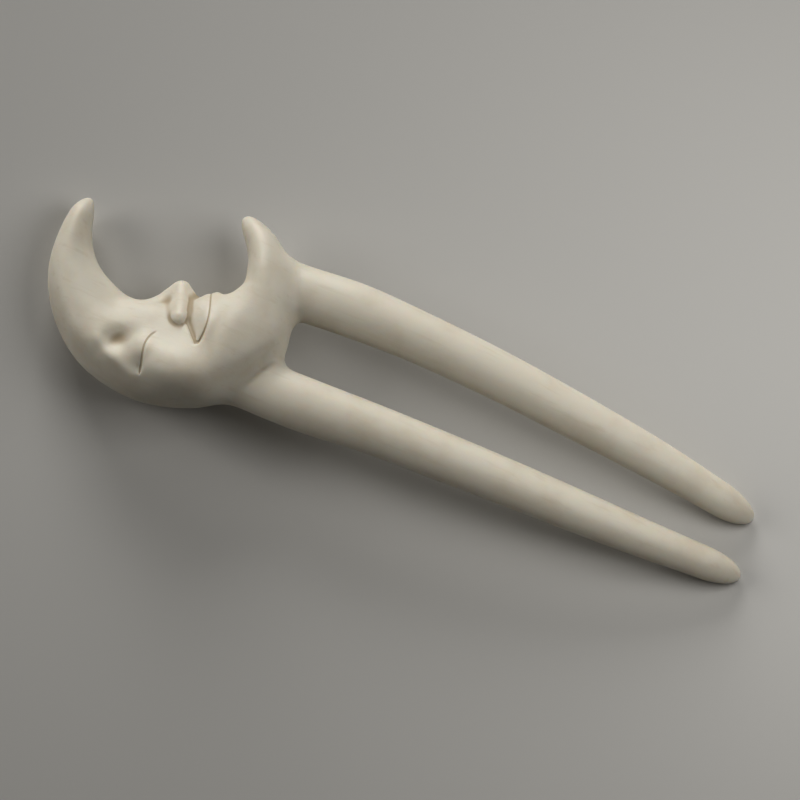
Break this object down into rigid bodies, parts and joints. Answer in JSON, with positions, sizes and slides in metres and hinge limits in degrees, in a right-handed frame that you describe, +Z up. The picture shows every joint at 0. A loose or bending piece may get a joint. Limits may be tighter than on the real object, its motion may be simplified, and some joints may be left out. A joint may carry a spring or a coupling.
{
  "type": "hair fork",
  "caption": "Hair fork made in one piece: a crescent moon head with a sleeping face in profile, and round tapering prongs that arch down to rounded tips.",
  "frame": {"origin": "middle of the fork's bounding box, at the surface that it lies on", "axes": "+X from the moon's back to the prong tips, +Y towards the moon's open side, +Z up through the flank that shows; the fork lies as it rests by itself, on its hidden flank and both tips"},
  "size_m": [0.1362, 0.0388, 0.0192],
  "materials": {
    "ivory": "satin, polished by hand"
  },
  "bodies": {
    "root": {"hair_fork": "ivory"}
  },
  "joints": []
}
